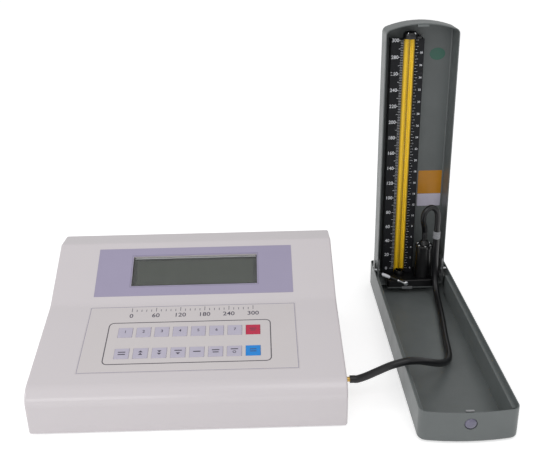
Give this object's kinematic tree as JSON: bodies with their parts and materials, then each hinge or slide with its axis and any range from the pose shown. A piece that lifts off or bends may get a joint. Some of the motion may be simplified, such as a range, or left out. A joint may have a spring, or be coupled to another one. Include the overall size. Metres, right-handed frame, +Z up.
{
  "type": "sphygmomanometer calibrator",
  "caption": "Desk console with keypad and display, joined by an air hose to a mercury column that stands in the hinged lid of its own tray, for checking blood-pressure gauges.",
  "frame": {"origin": "middle of the footprint, on the table", "axes": "+X along the set from the console to the mercury column, -Y towards the user, +Z up"},
  "size_m": [0.472, 0.3466, 0.3455],
  "materials": {
    "white_plastic": "gloss",
    "grey_plastic": "satin",
    "lilac_panel": "satin",
    "clear_window": "gloss",
    "display": "gloss",
    "key_sheet": "satin",
    "green_board": "satin",
    "lilac_key": "satin",
    "red_key": "satin",
    "blue_key": "satin",
    "ivory_plastic": "satin",
    "motor_steel": "brushed",
    "tank_aluminium": "satin",
    "clear_rubber": "matte",
    "core_iron": "matte",
    "black_plastic": "satin",
    "red_plastic": "gloss",
    "brass": "satin",
    "black_rubber": "matte",
    "steel": "brushed",
    "chrome": "polished",
    "grey_paint": "satin",
    "button_plastic": "gloss",
    "dark_steel": "satin",
    "black_scale": "satin",
    "yellow_strip": "gloss",
    "clear_glass": "gloss",
    "black_gloss": "gloss",
    "mercury": "mirror",
    "hose_rubber": "gloss",
    "coupling_plastic": "satin"
  },
  "bodies": {
    "set": {"console_cover": "white_plastic", "console_base": "white_plastic", "rear_panel": "grey_plastic", "display_panel": "lilac_panel", "display_window": "clear_window", "display_module": "display", "keypad_sheet": "key_sheet", "keypad_circuit": "green_board", "main_board": "green_board", "pressure_sensor": "ivory_plastic", "air_pump": "motor_steel", "deflate_valve": "motor_steel", "air_tank": "tank_aluminium", "inner_tubes": "clear_rubber", "transformer": "core_iron", "mains_inlet": "black_plastic", "power_switch": "black_plastic", "air_port": "brass", "console_feet": "black_rubber", "base_screws": "steel", "case_tray": "grey_paint", "tray_feet": "black_rubber", "hinge_pins": "steel", "air_hose": "hose_rubber"},
    "lid": {"case_lid": "grey_paint", "hinge_plates": "steel", "catch_plate": "steel", "scale_channel": "dark_steel", "scale_plates": "black_scale", "tube_strip": "yellow_strip", "glass_tube": "clear_glass", "tube_cap": "black_gloss", "column_screws": "chrome", "valve_block": "black_gloss", "reservoir": "black_gloss", "reservoir_cap": "black_gloss", "cap_screws": "chrome", "mercury": "mercury", "column_hose": "hose_rubber", "hose_coupling": "coupling_plastic"},
    "lever": {"valve_lever": "chrome"},
    "catch": {"catch_button": "button_plastic", "catch_hook": "steel"},
    "rocker": {"power_rocker": "red_plastic"},
    "key_1": {"key_1": "lilac_key"},
    "key_2": {"key_2": "lilac_key"},
    "key_3": {"key_3": "lilac_key"},
    "key_4": {"key_4": "lilac_key"},
    "key_5": {"key_5": "lilac_key"},
    "key_6": {"key_6": "lilac_key"},
    "key_7": {"key_7": "lilac_key"},
    "key_red": {"key_red": "red_key"},
    "key_set": {"key_set": "lilac_key"},
    "key_up": {"key_up": "lilac_key"},
    "key_down": {"key_down": "lilac_key"},
    "key_step": {"key_step": "lilac_key"},
    "key_hold": {"key_hold": "lilac_key"},
    "key_zero": {"key_zero": "lilac_key"},
    "key_vent": {"key_vent": "lilac_key"},
    "key_blue": {"key_blue": "blue_key"}
  },
  "joints": [
    {"name": "lid_hinge", "type": "hinge", "parent": "set", "child": "lid", "pos_m": [0.188, 0.14375, 0.032], "axis": [1, 0, 0], "range_deg": [0, 86], "deforming": ["air_hose"]},
    {"name": "valve_lever_turn", "type": "hinge", "parent": "lid", "child": "lever", "pos_m": [0.181, 0.13125, 0.018], "axis": [0, 1, 0], "range_deg": [0, 65]},
    {"name": "catch_press", "type": "slide", "parent": "set", "child": "catch", "axis": [0, 1, 0], "range_m": [0, 0.0012], "stiffness_N_per_m": 800, "springref_m": -0.0005},
    {"name": "power_rocker_tilt", "type": "hinge", "parent": "set", "child": "rocker", "pos_m": [-0.01, 0.09135, 0.046], "axis": [1, 0, 0], "range_deg": [-16, 0]},
    {"name": "key_1_press", "type": "slide", "parent": "set", "child": "key_1", "axis": [0, 0.2181, -0.9759], "range_m": [0, 0.0003], "stiffness_N_per_m": 300},
    {"name": "key_2_press", "type": "slide", "parent": "set", "child": "key_2", "axis": [0, 0.2181, -0.9759], "range_m": [0, 0.0003], "stiffness_N_per_m": 300},
    {"name": "key_3_press", "type": "slide", "parent": "set", "child": "key_3", "axis": [0, 0.2181, -0.9759], "range_m": [0, 0.0003], "stiffness_N_per_m": 300},
    {"name": "key_4_press", "type": "slide", "parent": "set", "child": "key_4", "axis": [0, 0.2181, -0.9759], "range_m": [0, 0.0003], "stiffness_N_per_m": 300},
    {"name": "key_5_press", "type": "slide", "parent": "set", "child": "key_5", "axis": [0, 0.2181, -0.9759], "range_m": [0, 0.0003], "stiffness_N_per_m": 300},
    {"name": "key_6_press", "type": "slide", "parent": "set", "child": "key_6", "axis": [0, 0.2181, -0.9759], "range_m": [0, 0.0003], "stiffness_N_per_m": 300},
    {"name": "key_7_press", "type": "slide", "parent": "set", "child": "key_7", "axis": [0, 0.2181, -0.9759], "range_m": [0, 0.0003], "stiffness_N_per_m": 300},
    {"name": "key_red_press", "type": "slide", "parent": "set", "child": "key_red", "axis": [0, 0.2181, -0.9759], "range_m": [0, 0.0003], "stiffness_N_per_m": 300},
    {"name": "key_set_press", "type": "slide", "parent": "set", "child": "key_set", "axis": [0, 0.2181, -0.9759], "range_m": [0, 0.0003], "stiffness_N_per_m": 300},
    {"name": "key_up_press", "type": "slide", "parent": "set", "child": "key_up", "axis": [0, 0.2181, -0.9759], "range_m": [0, 0.0003], "stiffness_N_per_m": 300},
    {"name": "key_down_press", "type": "slide", "parent": "set", "child": "key_down", "axis": [0, 0.2181, -0.9759], "range_m": [0, 0.0003], "stiffness_N_per_m": 300},
    {"name": "key_step_press", "type": "slide", "parent": "set", "child": "key_step", "axis": [0, 0.2181, -0.9759], "range_m": [0, 0.0003], "stiffness_N_per_m": 300},
    {"name": "key_hold_press", "type": "slide", "parent": "set", "child": "key_hold", "axis": [0, 0.2181, -0.9759], "range_m": [0, 0.0003], "stiffness_N_per_m": 300},
    {"name": "key_zero_press", "type": "slide", "parent": "set", "child": "key_zero", "axis": [0, 0.2181, -0.9759], "range_m": [0, 0.0003], "stiffness_N_per_m": 300},
    {"name": "key_vent_press", "type": "slide", "parent": "set", "child": "key_vent", "axis": [0, 0.2181, -0.9759], "range_m": [0, 0.0003], "stiffness_N_per_m": 300},
    {"name": "key_blue_press", "type": "slide", "parent": "set", "child": "key_blue", "axis": [0, 0.2181, -0.9759], "range_m": [0, 0.0003], "stiffness_N_per_m": 300}
  ]
}
